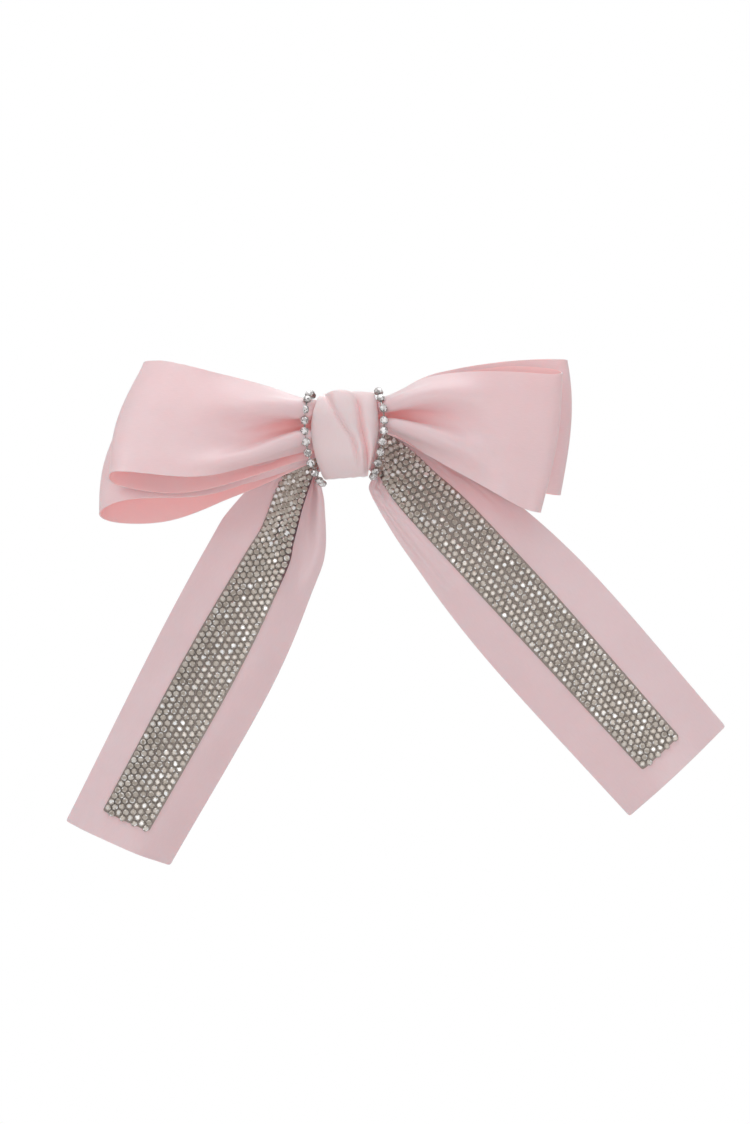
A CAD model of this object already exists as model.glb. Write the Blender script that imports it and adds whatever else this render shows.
"""A satin hair bow with rhinestone banding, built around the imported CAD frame.

Everything is in metres, in the frame's own axes: X to the right, Z up, -Y out of the front.
Control points are written in millimetres and scaled once.
"""
import math

import bpy
import numpy as np
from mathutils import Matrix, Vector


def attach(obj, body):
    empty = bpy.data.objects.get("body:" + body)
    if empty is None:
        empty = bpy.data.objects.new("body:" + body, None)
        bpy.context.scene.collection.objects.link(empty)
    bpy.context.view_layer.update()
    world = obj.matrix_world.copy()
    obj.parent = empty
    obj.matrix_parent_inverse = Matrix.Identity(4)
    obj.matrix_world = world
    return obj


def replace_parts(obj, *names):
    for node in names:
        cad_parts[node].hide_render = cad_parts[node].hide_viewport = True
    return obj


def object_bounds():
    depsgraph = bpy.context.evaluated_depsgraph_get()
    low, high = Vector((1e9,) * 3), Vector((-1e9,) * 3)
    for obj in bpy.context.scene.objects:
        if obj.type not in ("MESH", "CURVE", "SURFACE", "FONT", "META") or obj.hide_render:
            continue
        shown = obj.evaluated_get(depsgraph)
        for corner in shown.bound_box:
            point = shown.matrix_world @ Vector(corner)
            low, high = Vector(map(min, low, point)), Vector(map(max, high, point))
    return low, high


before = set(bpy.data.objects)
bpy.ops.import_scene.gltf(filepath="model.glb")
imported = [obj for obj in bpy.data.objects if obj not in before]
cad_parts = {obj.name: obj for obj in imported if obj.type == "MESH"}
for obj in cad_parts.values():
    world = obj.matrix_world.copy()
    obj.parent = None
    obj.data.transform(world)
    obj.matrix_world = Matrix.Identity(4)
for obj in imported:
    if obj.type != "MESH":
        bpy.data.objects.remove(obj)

MM = 0.001
CAD_BOX = [list(corner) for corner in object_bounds()]

RIBBON_WIDTH = 50 * MM
RIBBON_THICKNESS = 0.35 * MM
CELL = 1.7 * MM                       # spacing of a ribbon's grid
BAND_ROWS = 8
ROW_PITCH = 2.15 * MM
STONE_PITCH = 2.48 * MM               # along a row; each row is half a pitch off its neighbours


ROOM_LIGHT = 0.5                     # the white room's own light on the object
OVERHEAD = 1.0                        # a soft light straight above


# ------------------------------------------------------------------ camera, lights and floor
def make_camera():
    """Level with the middle of the tails, square on, as far back as a product picture is taken."""
    frame_height = 0.4132
    distance = 1.2
    data = bpy.data.cameras.new("camera")
    data.sensor_width = 36
    data.lens = data.sensor_width * distance / frame_height
    camera = bpy.data.objects.new("camera", data)
    camera.location = (0.0103, -distance, -0.046)
    camera.rotation_euler = (math.pi / 2, 0, 0)
    bpy.context.scene.collection.objects.link(camera)
    bpy.context.scene.camera = camera


def area_light(name, place, target, size, power):
    data = bpy.data.lights.new(name, "AREA")
    data.size = size
    data.energy = power
    light = bpy.data.objects.new(name, data)
    light.location = place
    away = np.array(place) - np.array(target)
    yaw = math.atan2(away[0], -away[1])
    pitch = math.atan2(math.hypot(away[0], away[1]), away[2])
    light.rotation_euler = (pitch, 0, yaw)
    bpy.context.scene.collection.objects.link(light)


def make_stage():
    world = bpy.data.worlds.new("studio")
    bpy.context.scene.world = world
    world.use_nodes = True
    tree = world.node_tree
    background = tree.nodes["Background"]
    background.inputs["Color"].default_value = (1, 1, 1, 1)
    seen = tree.nodes.new("ShaderNodeLightPath")
    strength = tree.nodes.new("ShaderNodeMapRange")
    strength.inputs["To Min"].default_value = ROOM_LIGHT
    strength.inputs["To Max"].default_value = 1.0
    tree.links.new(seen.outputs["Is Camera Ray"], strength.inputs["Value"])
    tree.links.new(strength.outputs["Result"], background.inputs["Strength"])
    bpy.context.scene.view_settings.view_transform = "Standard"
    area_light("key", (-0.8, -1.0, 1.0), (0, 0, -0.03), 0.7, 3.8)
    area_light("fill", (0.3, -1.5, -0.5), (0, 0, -0.03), 1.2, 9)
    area_light("rear", (0.3, 1.6, 1.2), (0, 0, -0.03), 1.2, 8)
    sun = bpy.data.lights.new("overhead", "SUN")
    sun.energy = OVERHEAD
    sun.angle = math.radians(50)
    bpy.context.scene.collection.objects.link(bpy.data.objects.new("overhead", sun))

    floor = bpy.data.meshes.new("floor")
    reach, height = 6.0, CAD_BOX[0][2] - 0.25
    floor.from_pydata([(-reach, -reach, height), (reach, -reach, height), (reach, reach, height),
                       (-reach, reach, height)], [], [(0, 1, 2, 3)])
    piece = bpy.data.objects.new("floor", floor)
    bpy.context.scene.collection.objects.link(piece)
    paint = bpy.data.materials.new("floor_paint")
    paint.use_nodes = True
    shader = paint.node_tree.nodes["Principled BSDF"]
    shader.inputs["Base Color"].default_value = (0.62, 0.62, 0.62, 1)
    shader.inputs["Roughness"].default_value = 0.8
    glow = paint.node_tree.nodes.new("ShaderNodeEmission")
    seen = paint.node_tree.nodes.new("ShaderNodeLightPath")
    either = paint.node_tree.nodes.new("ShaderNodeMixShader")
    link = paint.node_tree.links.new
    link(seen.outputs["Is Camera Ray"], either.inputs["Fac"])
    link(shader.outputs["BSDF"], either.inputs[1])
    link(glow.outputs["Emission"], either.inputs[2])
    link(either.outputs["Shader"], paint.node_tree.nodes["Material Output"].inputs["Surface"])
    floor.materials.append(paint)


make_camera()
make_stage()


# ------------------------------------------------------------------ materials
class Nodes:
    """A short way to write a material's node tree."""

    def __init__(self, name):
        self.material = bpy.data.materials.new(name)
        self.material.use_nodes = True
        self.tree = self.material.node_tree
        self.shader = self.tree.nodes["Principled BSDF"]

    def add(self, kind, **settings):
        node = self.tree.nodes.new(kind)
        for key, value in settings.items():
            setattr(node, key, value)
        return node

    def link(self, source, target):
        self.tree.links.new(source, target)

    def put(self, node, **values):
        for key, value in values.items():
            node.inputs[key.replace("_", " ")].default_value = value
        return node

    def bump(self, height, strength, distance):
        node = self.add("ShaderNodeBump")
        node.inputs["Strength"].default_value = strength
        node.inputs["Distance"].default_value = distance
        self.link(height, node.inputs["Height"])
        self.link(node.outputs["Normal"], self.shader.inputs["Normal"])

    def ramp(self, source, stops):
        node = self.add("ShaderNodeValToRGB")
        while len(node.color_ramp.elements) < len(stops):
            node.color_ramp.elements.new(0.5)
        for element, (place, color) in zip(node.color_ramp.elements, stops):
            element.position = place
            element.color = (*color, 1)
        self.link(source, node.inputs["Fac"])
        return node


def linear(red, green, blue):
    """An sRGB colour from 0 to 255 as the linear colour that a shader takes."""
    def channel(value):
        share = value / 255
        return share / 12.92 if share <= 0.04045 else ((share + 0.055) / 1.055) ** 2.4
    return tuple(channel(value) for value in (red, green, blue))


FOLD_RED = (1.0, 0.42, 0.4)
METAL_SHADE = (0.15, 0.08, 0.09)


def satin_material(name, color, sheen=0.4, through=0.0, scatter=0.7):
    """Woven satin: fine warp lines along the ribbon, a soft sheen, and the deeper red that the cloth takes
    on where it faces itself in a fold. through is the light that comes through it from its other side, and
    scatter the share that spreads inside it."""
    nodes = Nodes(name)
    uv = nodes.add("ShaderNodeUVMap", uv_map="flat")
    stretch = nodes.add("ShaderNodeMapping")
    stretch.inputs["Scale"].default_value = (300, 9000, 1)
    nodes.link(uv.outputs["UV"], stretch.inputs["Vector"])
    threads = nodes.put(nodes.add("ShaderNodeTexNoise"), Scale=1.0, Detail=2.0, Roughness=0.6)
    nodes.link(stretch.outputs["Vector"], threads.inputs["Vector"])
    cloudy = nodes.put(nodes.add("ShaderNodeTexNoise"), Scale=60.0, Detail=3.0, Roughness=0.5)
    nodes.link(uv.outputs["UV"], cloudy.inputs["Vector"])
    mixed = nodes.add("ShaderNodeMath", operation="MULTIPLY_ADD")
    nodes.link(cloudy.outputs["Fac"], mixed.inputs[0])
    mixed.inputs[1].default_value = 0.5
    nodes.link(threads.outputs["Fac"], mixed.inputs[2])
    low = tuple(c * 0.95 for c in color)
    high = tuple(min(c * 1.04, 1) for c in color)
    tint = nodes.ramp(mixed.outputs["Value"], [(0.45, low), (1.0, high)])
    fold = nodes.add("ShaderNodeAttribute", attribute_name="fold")
    deepened = nodes.add("ShaderNodeMixRGB")
    nodes.link(fold.outputs["Fac"], deepened.inputs["Fac"])
    nodes.link(tint.outputs["Color"], deepened.inputs["Color1"])
    deepened.inputs["Color2"].default_value = (*FOLD_RED, 1)
    nodes.link(deepened.outputs["Color"], nodes.shader.inputs["Base Color"])
    nodes.put(nodes.shader, Roughness=0.42, Sheen_Weight=sheen, Sheen_Roughness=0.35,
              Subsurface_Weight=scatter, Subsurface_Scale=1.5 * MM, Subsurface_Radius=(1, 0.45, 0.4))
    nodes.shader.inputs["Specular IOR Level"].default_value = 0.7
    nodes.shader.inputs["Emission Color"].default_value = (0.95, 0.36, 0.35, 1)
    nodes.shader.inputs["Emission Strength"].default_value = through
    nodes.bump(threads.outputs["Fac"], 0.12, 0.02 * MM)
    return nodes.material


def metal_material(name, color, roughness, scale=4000.0):
    """Metal with a fine grain, dark where it lies in a fold's shadow."""
    nodes = Nodes(name)
    place = nodes.add("ShaderNodeTexCoord")
    grain = nodes.put(nodes.add("ShaderNodeTexNoise"), Scale=scale, Detail=2.0, Roughness=0.5)
    nodes.link(place.outputs["Object"], grain.inputs["Vector"])
    tint = nodes.ramp(grain.outputs["Fac"], [(0.3, tuple(c * 0.8 for c in color)), (0.75, color)])
    fold = nodes.add("ShaderNodeAttribute", attribute_name="fold")
    shaded = nodes.add("ShaderNodeMixRGB")
    nodes.link(fold.outputs["Fac"], shaded.inputs["Fac"])
    nodes.link(tint.outputs["Color"], shaded.inputs["Color1"])
    shaded.inputs["Color2"].default_value = (*METAL_SHADE, 1)
    nodes.link(shaded.outputs["Color"], nodes.shader.inputs["Base Color"])
    rough = nodes.add("ShaderNodeMapRange")
    rough.inputs["To Min"].default_value = roughness * 0.75
    rough.inputs["To Max"].default_value = roughness * 1.3
    nodes.link(grain.outputs["Fac"], rough.inputs["Value"])
    nodes.link(rough.outputs["Result"], nodes.shader.inputs["Roughness"])
    nodes.shader.inputs["Metallic"].default_value = 1.0
    return nodes.material


def crystal_material(name, dark, middle, bright, coat):
    """Foiled crystal: each facet has its own tone, as it shows its own part of the foil behind."""
    nodes = Nodes(name)
    tone = nodes.add("ShaderNodeAttribute", attribute_name="tone")
    tint = nodes.ramp(tone.outputs["Fac"], [(0.0, dark), (0.45, middle), (0.8, bright), (1.0, (1, 1, 1))])
    nodes.link(tint.outputs["Color"], nodes.shader.inputs["Base Color"])
    nodes.put(nodes.shader, Metallic=0.2, Roughness=0.2, Coat_Weight=coat, Coat_Roughness=0.05)
    return nodes.material


SATIN = (0.865, 0.645, 0.665)
materials = {
    "satin": satin_material("ribbon_satin", SATIN, 0.5, 0.03),
    "tail": satin_material("tail_satin", (0.735, 0.612, 0.638), 0.4, 0.02),
    "tail_back": satin_material("tail_satin_back", (0.85, 0.6, 0.62), 0.1, 0.0, 0.0),
    "satin_back": satin_material("ribbon_satin_back", (0.94, 0.63, 0.64), 0.1, 0.08),
    "knot": satin_material("knot_satin", (1.0, 0.71, 0.72), 0.5, 0.025),
    "crystal": crystal_material("crystal", (0.36, 0.31, 0.26), (0.585, 0.515, 0.45), (0.72, 0.67, 0.61), 0.35),
    "chaton": crystal_material("chaton", (0.12, 0.11, 0.11), (0.6, 0.57, 0.56), (0.95, 0.92, 0.92), 0.8),
    "net": metal_material("net_metal", (0.38, 0.32, 0.29), 0.5),
    "cup": metal_material("cup_metal", (0.45, 0.43, 0.41), 0.25),
    "nickel": metal_material("nickel", (0.52, 0.51, 0.48), 0.3),
    "spring": metal_material("spring_steel", (0.6, 0.6, 0.58), 0.35),
    "thread": satin_material("thread", linear(225, 190, 194)),
}


# ------------------------------------------------------------------ curves and grids
def spline(points, at, closed):
    """Catmull-Rom through points along axis 0, at the parameters at (one per point)."""
    count = len(points)
    if closed:
        index = np.floor(at).astype(int)
        before, first, second, after = (points[(index + k) % count] for k in (-1, 0, 1, 2))
    else:
        padded = np.concatenate([[2 * points[0] - points[1]], points, [2 * points[-1] - points[-2]]])
        index = np.clip(np.floor(at).astype(int), 0, count - 2)
        before, first, second, after = (padded[index + k] for k in (0, 1, 2, 3))
    t = (at - index).reshape(-1, *([1] * (points.ndim - 1)))
    return first + 0.5 * t * (second - before + t * (2 * before - 5 * first + 4 * second - after
                                                     + t * (3 * (first - second) + after - before)))


def ribbon_grid(stations, closed, width):
    """A grid over a lofted ribbon, evenly spaced along its middle: (along, across, xyz), and each row's
    place in the stations."""
    stations = np.array(stations) * MM
    span = len(stations) if closed else len(stations) - 1
    fine = np.linspace(0, span, 4000)
    middle = spline(stations, fine, closed).mean(axis=1)
    run = np.concatenate([[0], np.cumsum(np.linalg.norm(np.diff(middle, axis=0), axis=1))])
    steps = round(run[-1] / CELL)
    at = np.interp(np.linspace(0, run[-1], steps + 1), run, fine)
    if closed:
        at = at[:-1]
    rows = spline(stations, at, closed)
    columns = round(width / CELL) + 1
    across = np.linspace(0, rows.shape[1] - 1, columns)
    grid = spline(rows.transpose(1, 0, 2), across, False).transpose(1, 0, 2)
    return grid, at, np.linspace(0, 1, columns), run[-1]


def normals_of(grid, closed):
    if closed:
        along = np.roll(grid, -1, axis=0) - np.roll(grid, 1, axis=0)
    else:
        along = np.gradient(grid, axis=0)
    normal = np.cross(along, np.gradient(grid, axis=1))
    return normal / np.linalg.norm(normal, axis=2, keepdims=True)


def make_piece(name, vertices, faces, material, smooth=True):
    mesh = bpy.data.meshes.new(name)
    mesh.from_pydata([tuple(v) for v in vertices], [], faces)
    mesh.polygons.foreach_set("use_smooth", [smooth] * len(mesh.polygons))
    mesh.materials.append(materials[material])
    piece = bpy.data.objects.new(name, mesh)
    bpy.context.scene.collection.objects.link(piece)
    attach(piece, "bow")
    return piece


def ribbon_piece(name, grid, closed, length, width, material, thickness=RIBBON_THICKNESS, back=None,
                 fold=None):
    """A ribbon's mesh, with its flat cut as UVs in metres, smoothed and given its thickness. fold is how deep
    in a fold each point lies, from 0 to 1."""
    rows, columns = grid.shape[:2]
    last = rows if closed else rows - 1
    index = lambda i, j: (i % rows) * columns + j
    faces = [(index(i, j), index(i + 1, j), index(i + 1, j + 1), index(i, j + 1))
             for i in range(last) for j in range(columns - 1)]
    piece = make_piece(name, grid.reshape(-1, 3), faces, material)
    mesh = piece.data
    if fold is not None:
        mesh.attributes.new("fold", "FLOAT", "POINT").data.foreach_set("value", fold.ravel())
    flat = mesh.uv_layers.new(name="flat")
    step, side = length / last, width / (columns - 1)
    places = [((i + di) * step, (j + dj) * side) for i in range(last) for j in range(columns - 1)
              for di, dj in ((0, 0), (1, 0), (1, 1), (0, 1))]
    flat.data.foreach_set("uv", np.array(places).ravel())
    count = np.zeros(len(mesh.edges), int)
    keys = {key: n for n, key in enumerate(mesh.edge_keys)}
    for polygon in mesh.polygons:
        for key in polygon.edge_keys:
            count[keys[key]] += 1
    sharp = mesh.attributes.new("sharp_edge", "BOOLEAN", "EDGE")
    sharp.data.foreach_set("value", count == 1)
    subdivision = piece.modifiers.new("smooth", "SUBSURF")
    subdivision.levels = subdivision.render_levels = 1
    solidify = piece.modifiers.new("thickness", "SOLIDIFY")
    solidify.thickness = thickness
    solidify.offset = 0
    if back:
        mesh.materials.append(materials[back])
        solidify.material_offset = 1
    return piece


# ------------------------------------------------------------------ cloth relaxation
def relax(grid, rest_along, rest_across, closed, goal_weight, reach, rounds=160, stiffness=0.25):
    """Lets a ribbon settle as inextensible cloth: every cell returns to its flat size, long folds resist
    bending, each point is drawn to its place with goal_weight and stays within reach of it."""
    goal = grid.copy()
    points = grid.copy()
    rows, columns = grid.shape[:2]
    free = 1 - np.clip(goal_weight, 0, 1)[..., None] * (goal_weight[..., None] >= 1)

    def pairs(step_i, step_j):
        i = np.arange(rows if closed else rows - step_i)
        j = np.arange(columns - abs(step_j)) + max(0, -step_j)
        return (i[:, None], j[None, :]), ((i[:, None] + step_i) % rows, j[None, :] + step_j)

    links = []
    for step_i, step_j, firmness in ((1, 0, 1.0), (0, 1, 1.0), (1, 1, 0.5), (1, -1, 0.5),
                                     (2, 0, stiffness), (0, 2, stiffness), (4, 0, stiffness), (0, 4, stiffness)):
        first, second = pairs(step_i, step_j)
        local = rest_across[first[0].ravel()][:, None]
        rest = np.hypot(step_i * rest_along, step_j * local)
        links.append((first, second, np.broadcast_to(rest, np.broadcast_shapes(*(f.shape for f in first))), firmness,
                      step_i > 1 or abs(step_j) > 1))
    for _ in range(rounds):
        move = np.zeros_like(points)
        weight = np.zeros((rows, columns, 1))
        for first, second, rest, firmness, bending in links:
            line = points[second] - points[first]
            length = np.linalg.norm(line, axis=2, keepdims=True) + 1e-12
            error = length - rest[..., None]
            if bending:
                error = np.minimum(error, 0)
            shift = 0.5 * firmness * error * line / length
            np.add.at(move, first, shift)
            np.add.at(move, second, -shift)
            np.add.at(weight, first, firmness)
            np.add.at(weight, second, firmness)
        points += 1.2 * move / np.maximum(weight, 1e-9) * free
        points += (goal - points) * goal_weight[..., None]
        away = points - goal
        far = np.linalg.norm(away, axis=2, keepdims=True) + 1e-12
        points = goal + away * np.minimum(1, reach[..., None] / far)
    return points


def smoothstep(value, low, high):
    t = np.clip((value - low) / (high - low), 0, 1)
    return t * t * (3 - 2 * t)


# ------------------------------------------------------------------ ribbon loops
FRONT_LOOP = [
    [[0, -13.6, 12.4], [0, -13.6, -5]],
    [[-12.5, -14, 13], [-12.5, -14.4, -5.2]],
    [[-30, -16.5, 18.4], [-32, -22, -10.6]],
    [[-51, -14, 23.6], [-55, -26.5, -15.2]],
    [[-67, -8.5, 27.4], [-79, -26, -13]],
    [[-74, -2.5, 26.8], [-85.2, -21.5, -13.8]],
    [[-70, 1, 25.8], [-83, -18, -18]],
    [[-54, -0.5, 22], [-60, -17.5, -21]],
    [[-31, -7.5, 16], [-32, -14.5, -14.4]],
    [[-12.5, -11.2, 12], [-12.5, -11.6, -6.6]],
    [[0, -11.2, 12.4], [0, -11.2, -5]],
    [[12.5, -11.2, 13], [12.5, -11.6, 2.6]],
    [[32, -8.5, 20.8], [33, -9.5, -8.4]],
    [[56, -7, 25.2], [55, -9.5, -20.6]],
    [[73, -8.5, 25.2], [65.5, -11.5, -27]],
    [[78.6, -12.8, 23], [70, -15.4, -28]],
    [[74, -17.2, 21.8], [65.5, -19.4, -27.4]],
    [[55, -19.6, 22.8], [52, -22, -19.6]],
    [[31, -17.4, 21.6], [31, -19.4, -7.8]],
    [[12.5, -14, 13.4], [13, -14.4, 1.8]],
]
REAR_LOOP = [
    [[0, -8.7, 11.6], [0, -8.7, -9]],
    [[-12.5, -8.7, 9.6], [-12.5, -9.3, -8]],
    [[-30, -6, 11], [-30, -13.2, -14.6]],
    [[-52, 0.2, 14.4], [-53, -16.2, -22]],
    [[-69, 2.6, 16.5], [-79, -17, -22.8]],
    [[-76, 6.4, 15.4], [-90.6, -11, -27.2]],
    [[-73.5, 9.4, 12.4], [-86, -5.4, -31]],
    [[-58, 7.4, 8.6], [-64, -4.4, -30.6]],
    [[-34, -0.6, 7], [-36, -7.4, -19.2]],
    [[-12.5, -6.2, 8.6], [-12.5, -6.8, -8]],
    [[0, -6.2, 11.6], [0, -6.2, -9]],
    [[12.5, -6.2, 12.6], [12.5, -6.2, 3.6]],
    [[34, -2.6, 20.6], [32, -4.4, -5.2]],
    [[58, 4.4, 25], [56, 1.8, -15.8]],
    [[76, 3.8, 26.6], [73, 5, -20.6]],
    [[80, -0.6, 27.8], [79, 0.8, -21.4]],
    [[77, -3.6, 28.2], [74, -3.6, -20.8]],
    [[57, -4.4, 27.2], [55, -5, -16]],
    [[33, -6.4, 22.6], [32, -7.4, -5.4]],
    [[12.5, -8.7, 12.4], [13, -8.7, 3.6]],
]
KNOT_HALF = 12.5 * MM


def loop_ribbon(name, stations, valleys, lobes, depths, bulges):
    """One ring of ribbon, each setting for its left and its right. valleys are where the fold at the knot lies
    across it and how far it drifts, lobes how the part below the fold swells near the knot and far from it,
    depths how deep the fold is at the front, and bulges how far the pressed end bows outwards and how high."""
    grid, at, across, length = ribbon_grid(stations, True, RIBBON_WIDTH)
    out = np.abs(grid[..., 0])
    front = (at < 5) | (at > 15)
    left = (at < 10)[:, None]
    away = smoothstep(out, KNOT_HALF, 40 * MM)

    def either(pair):
        return np.where(left, *pair)

    valley = either([start + drift * away for start, drift in valleys])
    lobe = either([near + (far - near) * away for near, far in lobes])
    part = np.where(across < valley, (across / valley) ** 0.8, (np.maximum(across - valley, 0) / (1 - valley)) ** lobe)
    sharp = np.sin(np.pi * part)
    open_up = smoothstep(out, 16 * MM, 48 * MM)
    swell = sharp * (1 - open_up) + sharp ** 2 * open_up - 0.35
    size = smoothstep(out, 9 * MM, 19 * MM) * (1 - 0.97 * smoothstep(out, 22 * MM, 60 * MM))
    depth = either(depths) * np.where(front, 1.0, 0.25)[:, None]
    grid[..., 1] -= depth * swell * size * np.where(front, 1, -1)[:, None]
    bulge = either([sign * amount * np.sin(np.pi * across ** skew)
                    for sign, (amount, skew) in zip((-1, 1), bulges)])
    grid[..., 0] += bulge * smoothstep(out, 45 * MM, 78 * MM)
    off = across - valley
    fold = np.exp(-(off / np.where(off < 0, 0.16, 0.05)) ** 2) * (1 - smoothstep(out, 13 * MM, 42 * MM))
    fold *= 0.7 * depth / max(depths)
    rest_along = length / len(grid)
    shaped = np.linalg.norm(np.diff(grid, axis=1), axis=2).sum(axis=1)
    gather = np.clip(1.03 * shaped / RIBBON_WIDTH, 0.66, 1)
    rest_across = RIBBON_WIDTH / (grid.shape[1] - 1) * gather
    held = np.where(out < KNOT_HALF, 1.0, 0.02)
    grid = relax(grid, rest_along, rest_across, True, held, np.full(out.shape, 3 * MM))
    piece = ribbon_piece(name, grid, True, length, RIBBON_WIDTH, "satin", back="satin_back", fold=fold)
    return piece


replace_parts(loop_ribbon("front_loop", FRONT_LOOP, ((0.54, 0.14), (0.6, -0.05)), ((0.65, 1.6), (0.65, 0.8)),
                        (10 * MM, 10 * MM), ((3.6 * MM, 1), (2.4 * MM, 1))),
            "front_loop_ribbon")
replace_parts(loop_ribbon("rear_loop", REAR_LOOP, ((0.5, 0), (0.5, 0)), ((0.65, 0.65), (0.65, 0.65)),
                        (1.5 * MM, 1.5 * MM), ((4.5 * MM, 1), (2.8 * MM, 0.8))),
            "rear_loop_ribbon")


def resample(grid, along, across):
    """The surface through a grid at every pair of places, both counted in cells."""
    rows = spline(grid, along, False)
    return spline(rows.transpose(1, 0, 2), across, False).transpose(1, 0, 2)


# ------------------------------------------------------------------ built shapes: many small parts in one mesh
class Parts:
    """Collects small parts into one mesh, with a material and a facet tone for each face."""

    def __init__(self):
        self.vertices, self.faces, self.kinds, self.tones = [], [], [], []

    def add(self, vertices, faces, kind=0, tones=None):
        start = len(self.vertices)
        self.vertices.extend(vertices)
        self.faces.extend([tuple(start + n for n in face) for face in faces])
        self.kinds.extend([kind] * len(faces))
        self.tones.extend([0.5] * len(faces) if tones is None else tones)

    def build(self, name, names):
        piece = make_piece(name, self.vertices, self.faces, names[0], smooth=False)
        for extra in names[1:]:
            piece.data.materials.append(materials[extra])
        piece.data.polygons.foreach_set("material_index", self.kinds)
        tone = piece.data.attributes.new("tone", "FLOAT", "FACE")
        tone.data.foreach_set("value", self.tones)
        return piece


def turned(profile, sides, frame_axes, centre, twist=0.0):
    """A turned shape: profile is (radius, height) pairs from the foot up, closed at both ends."""
    right, forward, up = frame_axes
    angles = twist + 2 * math.pi * np.arange(sides) / sides
    ring = np.cos(angles)[:, None] * right + np.sin(angles)[:, None] * forward
    vertices = np.concatenate([centre + radius * ring + height * up for radius, height in profile])
    faces = [tuple(range(sides))[::-1]]
    for level in range(len(profile) - 1):
        for n in range(sides):
            low, high = level * sides + n, level * sides + (n + 1) % sides
            faces.append((low, high, high + sides, low + sides))
    faces.append(tuple((len(profile) - 1) * sides + n for n in range(sides)))
    return [tuple(v) for v in vertices], faces


def axes_from(up, along):
    up = up / np.linalg.norm(up)
    right = along - up * np.dot(along, up)
    right /= np.linalg.norm(right)
    return right, np.cross(up, right), up


def facet_tones(random, count, bright_share):
    """Mostly middling facets, with some near black and a few that flash."""
    tones = random.beta(1.2, 1.4, count)
    tones[random.random(count) < bright_share] = 1.0
    return list(tones)


# ------------------------------------------------------------------ tails with their banding
LEFT_TAIL = [
    [[-1, -4.6, 8], [0, -4.6, 3], [1, -4.6, -3], [2, -4.6, -8]],
    [[-12.5, -3.8, 0], [-14.4, -3.4, -4.8], [-11, -3.4, -9.5], [-9.6, -3.9, -12.8]],
    [[-30, -2.8, -14], [-24.4, -3.8, -17.4], [-16.8, -4.2, -23.2], [-8.4, -3.4, -25]],
    [[-43.2, -2.6, -27], [-30.2, -6.8, -33.6], [-20.8, -7.6, -38], [-8, -3.8, -42.4]],
    [[-50, -2.6, -38], [-37, -8.2, -44.6], [-23.8, -8.8, -51], [-12.9, -3.6, -56]],
    [[-69.4, -2.4, -74.6], [-58, -8.6, -80.1], [-41.1, -9.4, -87.8], [-28.8, -3.4, -93.5]],
    [[-102.6, -1, -141.4], [-93, -8, -145.4], [-77.6, -9, -152.2], [-65.2, -1.8, -157.2]],
]
RIGHT_TAIL = [
    [[-2, -3.4, -8], [-1, -3.4, -3], [1, -3.4, 3], [2, -3.4, 8]],
    [[8.8, -3, -12.6], [11, -3.4, -11.4], [13.4, -3.2, 1.2], [13.4, -2.6, 6.2]],
    [[9, -3.6, -19.5], [13.6, -4.8, -17], [22.4, -4, -4.4], [26, -2.6, 0]],
    [[14.2, -4.8, -29.4], [18.8, -7, -25.2], [32.2, -5.4, -13.4], [39, -3.6, -10.5]],
    [[24.6, -5.4, -45.2], [31.4, -8.8, -39.1], [46, -7.8, -26.2], [55, -6, -19.8]],
    [[51.8, -4.8, -82], [62.8, -9.2, -72.2], [76.7, -9, -59.9], [88.9, -6, -49]],
    [[103.6, -3.4, -139.2], [115.2, -8.4, -128.3], [126.8, -8.4, -117.4], [138.8, -3.4, -106.2]],
]
BAND_WIDTH = BAND_ROWS * ROW_PITCH
BAND_TO_END = 9.5 * MM
NET_LIFT = 0.45 * MM
STONE_LIFT = 0.75 * MM
STONE = [(1.22, 0), (1.22, 0.35), (1.1, 0.45), (0.66, 0.85)]     # collar, girdle and table, in millimetres
STONE_SIDES = 8


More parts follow.
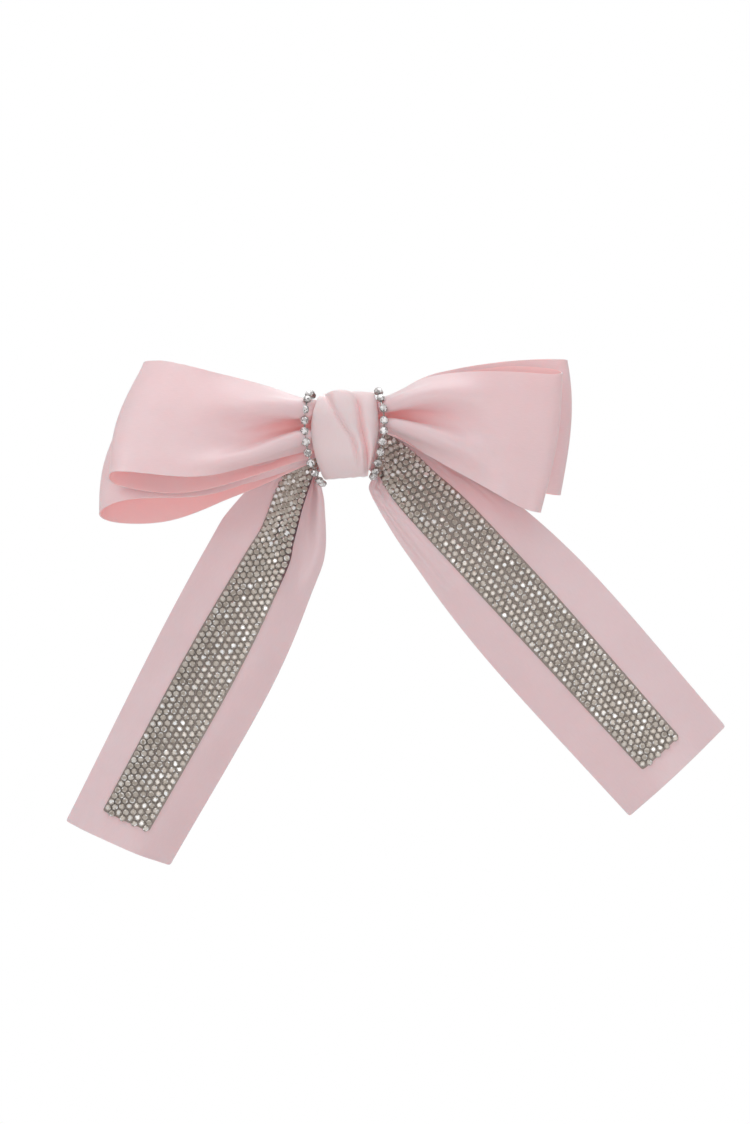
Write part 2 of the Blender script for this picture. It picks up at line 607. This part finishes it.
def tail(side, stations, band_start, pleats, lifted, seed):
    """One tail, its net and its eight rows of stones. pleats are its folds near the knot: where each lies
    across, how wide and how deep it is, and how far down it runs. lifted is how high the banding's right
    edge stands off the ribbon along its upper part."""
    grid, at, across, length = ribbon_grid(stations, False, RIBBON_WIDTH)
    rows, columns = grid.shape[:2]
    rest_along, cell = length / (rows - 1), RIBBON_WIDTH / (columns - 1)
    run = np.arange(rows) * rest_along
    for place, width, depth, reach in pleats:
        shape = np.exp(-((across - place) / width) ** 2)[None, :]
        size = smoothstep(run, 6 * MM, 16 * MM) * (1 - smoothstep(run, 0.35 * reach, reach))
        grid[..., 1] += depth * shape * size[:, None]
    widths = np.linalg.norm(np.diff(grid, axis=1), axis=2).sum(axis=1)
    gather = np.minimum(1.0, widths / RIBBON_WIDTH * 1.12)
    gather = np.where(run > 75 * MM, 1.0, gather)
    held = np.where(run < 14 * MM, 1.0, 0.1)[:, None] * np.ones((1, columns))
    grid = relax(grid, rest_along, cell * gather, False, held, np.full((rows, columns), 1.5 * MM))
    ribbon = ribbon_piece(f"{side}_tail", grid, False, length, RIBBON_WIDTH, "tail", back="tail_back")
    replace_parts(ribbon, f"{side}_tail_ribbon")

    facing = normals_of(grid, False)
    if facing[..., 1].mean() > 0:
        facing = -facing
    centre = RIBBON_WIDTH / 2
    band_length = length - BAND_TO_END - band_start

    def rise(along, offset):
        where = smoothstep(along, 2 * MM, 12 * MM) * (1 - smoothstep(along, 46 * MM, 64 * MM))
        return lifted * where[:, None] * smoothstep(offset, 3 * MM, BAND_WIDTH / 2)[None, :]

    def lay(along, offset, lift):
        """Points of the banding's surface, lift above the ribbon, with the way out of it."""
        place = (band_start + along) / rest_along, (centre + offset) / cell
        out = resample(facing, *place)
        out /= np.linalg.norm(out, axis=2, keepdims=True)
        return resample(grid, *place) + (lift + rise(along, offset))[..., None] * out, out

    net_steps = round(band_length / (1.1 * MM))
    net_place = np.linspace(0, band_length, net_steps), np.linspace(-0.5, 0.5, 9) * (BAND_WIDTH + 1.2 * MM)
    net_grid, _ = lay(*net_place, NET_LIFT)
    net = ribbon_piece(f"{side}_net", net_grid, False, band_length, BAND_WIDTH, "net", 0.3 * MM,
                       fold=np.clip(rise(*net_place) / MM, 0, 1) ** 4)
    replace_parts(net, f"{side}_band_net")

    random = np.random.default_rng(seed)
    count = round(band_length / STONE_PITCH)
    pitch = band_length / count
    offsets = (np.arange(BAND_ROWS) - (BAND_ROWS - 1) / 2) * ROW_PITCH
    profile = [(radius * MM, height * MM) for radius, height in STONE]
    for row in range(BAND_ROWS):
        along = (np.arange(count) + (0.25, 0.75)[row % 2]) * pitch
        seats, outs = (points[:, 0] for points in lay(along, offsets[row:row + 1], STONE_LIFT))
        directions = np.gradient(seats, axis=0)
        parts = Parts()
        for n in range(count):
            tilt = outs[n] + random.normal(0, 0.05, 3)
            axes = axes_from(tilt, directions[n])
            vertices, faces = turned(profile, STONE_SIDES, axes, seats[n], math.pi / STONE_SIDES)
            tones = facet_tones(random, len(faces), 0.06)
            metal = 1 + 2 * STONE_SIDES
            parts.add(vertices, faces, 0, tones)
            parts.kinds[-len(faces):] = [1] * metal + [0] * (len(faces) - metal)
        piece = parts.build(f"{side}_stones_{row + 1}", ["crystal", "cup"])
        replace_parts(piece, f"{side}_stone_row_{row + 1}")


tail("left", LEFT_TAIL, 11.5 * MM, [(0.8, 0.07, 3.5 * MM, 70 * MM), (0.93, 0.06, -2 * MM, 70 * MM)], 1.1 * MM, 11)
tail("right", RIGHT_TAIL, 12 * MM, [(0.24, 0.07, 0.6 * MM, 40 * MM), (0.08, 0.06, -0.4 * MM, 40 * MM)], 0, 12)


# ------------------------------------------------------------------ knot
KNOT_WRAP = [
    [[-12.2, -16.8, 8], [11.2, -16.8, 8]],
    [[-12.8, -17.1, 1], [11.2, -17.1, 1]],
    [[-11.2, -16.6, -8], [9.4, -16.6, -8]],
    [[-8.4, -12.6, -15.2], [8, -12.6, -13.8]],
    [[-6.8, -6.6, -15.2], [7, -6.6, -14.4]],
    [[-7.4, -1.4, -13.6], [7.4, -1.4, -13.6]],
    [[-8.4, 0.9, -6.6], [8.4, 0.9, -6.6]],
    [[-8.6, 1, 0], [8.6, 1, 0]],
    [[-8.4, 0.9, 6.6], [8.4, 0.9, 6.6]],
    [[-7.6, -1.4, 13.6], [7.6, -1.4, 13.6]],
    [[-8.6, -7.6, 15.4], [8.6, -7.6, 15.4]],
    [[-10.4, -14.2, 14.8], [10, -14.2, 15]],
]
UPPER_FOLD = [(15.5, -7.2), (10.2, -5.1), (6.4, -2.9), (2.4, -0.3), (-0.8, 1.9), (-4.3, 3.3), (-10, 3.9), (-15, 4)]
DEEP_FOLD = [(15.5, 1.2), (12.4, 3.8), (9.7, 4.6), (6.4, 4.9), (2.4, 5.4), (-1.9, 6.5), (-5.1, 7.3), (-15, 7.9)]
WRAP_THICKNESS = 0.5 * MM


def fold_line(points, height):
    """Where a fold crosses the knot at a height, from (height, place) pairs in millimetres."""
    table = np.array(points[::-1]) * MM
    return np.interp(height, table[:, 0], table[:, 1])


def knot_wrap():
    """A short ribbon round the middle: a smooth left part, a pleat laid over it and a rolled edge."""
    stations = np.array(KNOT_WRAP) * MM
    rows, columns = 200, 56
    grid = spline(stations, np.arange(rows) * len(stations) / rows, True)
    share = np.linspace(0, 1, columns)
    grid = grid[:, :1] * (1 - share)[None, :, None] + grid[:, 1:] * share[None, :, None]
    normal = normals_of(grid, True)
    middle = grid.mean(axis=(0, 1))
    if ((grid - middle) * normal).sum() < 0:
        normal = -normal
    x, height = grid[..., 0], grid[..., 2]
    front = smoothstep(-grid[..., 1], 5 * MM, 13 * MM)
    upper, deep = fold_line(UPPER_FOLD, height), fold_line(DEEP_FOLD, height)
    left = grid[:, :1, 0]
    right = grid[:, -1:, 0]
    fade = smoothstep(height, -13 * MM, -6 * MM)
    below_top = 1 - smoothstep(height, 10 * MM, 15 * MM)

    def arch(start, end, power):
        return np.sin(np.pi * np.clip((x - start) / (end - start), 0, 1)) ** power

    def groove(line, width):
        return np.exp(-((x - line) / width) ** 2)

    rise = 1.1 * MM * arch(left, right, 0.8)
    rise += 1.3 * MM * fade * arch(upper, deep, 0.8)
    rise -= 1.1 * MM * fade * groove(upper, 0.9 * MM)
    rise -= 2.0 * MM * below_top * groove(deep, 1.1 * MM)
    rise += 1.1 * MM * arch(deep, right, 0.8) * (0.4 + 0.6 * below_top)
    facing = smoothstep(-normal[..., 1], 0.15, 0.8)
    pinch = 0.22 * MM * np.cos(2 * np.pi * 4 * share + 3 * height / (10 * MM)) * (1 - front)
    grid = grid + normal * (front * facing * rise + pinch)[..., None]
    fold = np.clip(fade * (0.1 * groove(upper, 0.9 * MM) + 0.15 * below_top * groove(deep, 1.4 * MM)), 0, 1) * front
    lower = (1 - smoothstep(x - upper, -0.6 * MM, 0.6 * MM)) * smoothstep(height, 8 * MM, 14 * MM)
    grid[..., 2] -= 1.3 * MM * lower * front
    girth = np.linalg.norm(np.roll(grid, -1, axis=0) - grid, axis=2).sum(axis=0).mean()
    width = np.linalg.norm(np.diff(grid, axis=1), axis=2).sum(axis=1).mean()
    piece = ribbon_piece("knot_wrap_satin", grid, True, girth, width, "knot", WRAP_THICKNESS,
                         fold=fold)
    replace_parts(piece, "knot_wrap")


knot_wrap()


# ------------------------------------------------------------------ cup chains
LEFT_CHAIN = [
    [-12.8, -6.4, 14], [-13.4, -12.6, 14.4], [-14.4, -17.8, 11.8], [-15.1, -18.8, 7.2], [-15.2, -19, 1.6],
    [-14.2, -18.8, -5], [-12.6, -17.6, -11], [-9.8, -13.4, -15.8], [-8.8, -6.4, -16.4],
]
RIGHT_CHAIN = [
    [11.6, -6.4, 15.2], [11.6, -12.4, 15.4], [12.4, -17.4, 12.6], [13.4, -18.8, 7.8], [13.6, -19, 1.6],
    [12.6, -18.4, -4.6], [11.2, -16.4, -9.6], [10, -12.4, -13], [9.6, -6.4, -14],
]
CUP_PITCH = 3.75 * MM
CUP = [(1.1, 0), (1.42, 0.35), (1.54, 1.15), (1.38, 1.2)]
CHATON = [(1.36, 0.9), (1.4, 1.3), (1.1, 1.8), (0.68, 2.1)]
KNOT_CENTRE_Y = -7.5 * MM


def cup_chain(side, route, seed):
    """Cups in a row with a bar between each two, four claws over each stone."""
    points = np.array(route) * MM
    fine = spline(points, np.linspace(0, len(points) - 1, 2000), False)
    run = np.concatenate([[0], np.cumsum(np.linalg.norm(np.diff(fine, axis=0), axis=1))])
    cups = round(run[-1] / CUP_PITCH)
    places = np.linspace(0, run[-1], cups + 1)
    centres = np.stack([np.interp(places, run, fine[:, k]) for k in range(3)], axis=1)
    tangents = np.gradient(centres, axis=0)
    random = np.random.default_rng(seed)
    parts = Parts()
    scaled = lambda profile: [(radius * MM, height * MM) for radius, height in profile]
    frames = []
    for centre, tangent in zip(centres, tangents):
        out = np.array([0, centre[1] - KNOT_CENTRE_Y, centre[2]])
        out -= tangent * np.dot(out, tangent) / np.dot(tangent, tangent)
        frames.append(axes_from(out / np.linalg.norm(out) + random.normal(0, 0.07, 3), tangent))
    for centre, axes in zip(centres, frames):
        parts.add(*turned(scaled(CUP), 16, axes, centre), kind=1)
        vertices, faces = turned(scaled(CHATON), 12, axes, centre)
        parts.add(vertices, faces, 0, facet_tones(random, len(faces), 0.25))
        for quarter in range(4):
            angle = math.pi / 4 + quarter * math.pi / 2
            lean = math.cos(angle) * axes[0] + math.sin(angle) * axes[1]
            claw_axes = axes_from(axes[2] - 0.35 * lean, lean)
            parts.add(*turned(scaled([(0.24, 0), (0.22, 0.7), (0.12, 0.95)]), 6, claw_axes,
                              centre + 1.46 * MM * lean + 0.75 * MM * axes[2]), kind=1)
    for n in range(cups):
        axes = axes_from(centres[n + 1] - centres[n], frames[n][2])
        gap = np.linalg.norm(centres[n + 1] - centres[n])
        parts.add(*turned([(0.32 * MM, 0), (0.32 * MM, gap)], 8, axes, centres[n] + 0.5 * MM * frames[n][2]), kind=1)
    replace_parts(parts.build(f"{side}_chain", ["chaton", "cup"]), f"{side}_cup_chain")


cup_chain("left", LEFT_CHAIN, 21)
cup_chain("right", RIGHT_CHAIN, 22)


# ------------------------------------------------------------------ barrette and thread: the CAD nodes, better finished
FINISHES = {
    "nickel": ["barrette_base", "hinge_pin", "clasp_arm", "catch_rivet"],
    "spring": ["tension_leaf", "catch_plate", "upper_catch_wing", "lower_catch_wing"],
    "thread": ["gathering_thread"],
}
for finish, nodes in FINISHES.items():
    for node in nodes:
        piece = bpy.data.objects[node]
        for slot in piece.material_slots:
            slot.material = materials[finish]
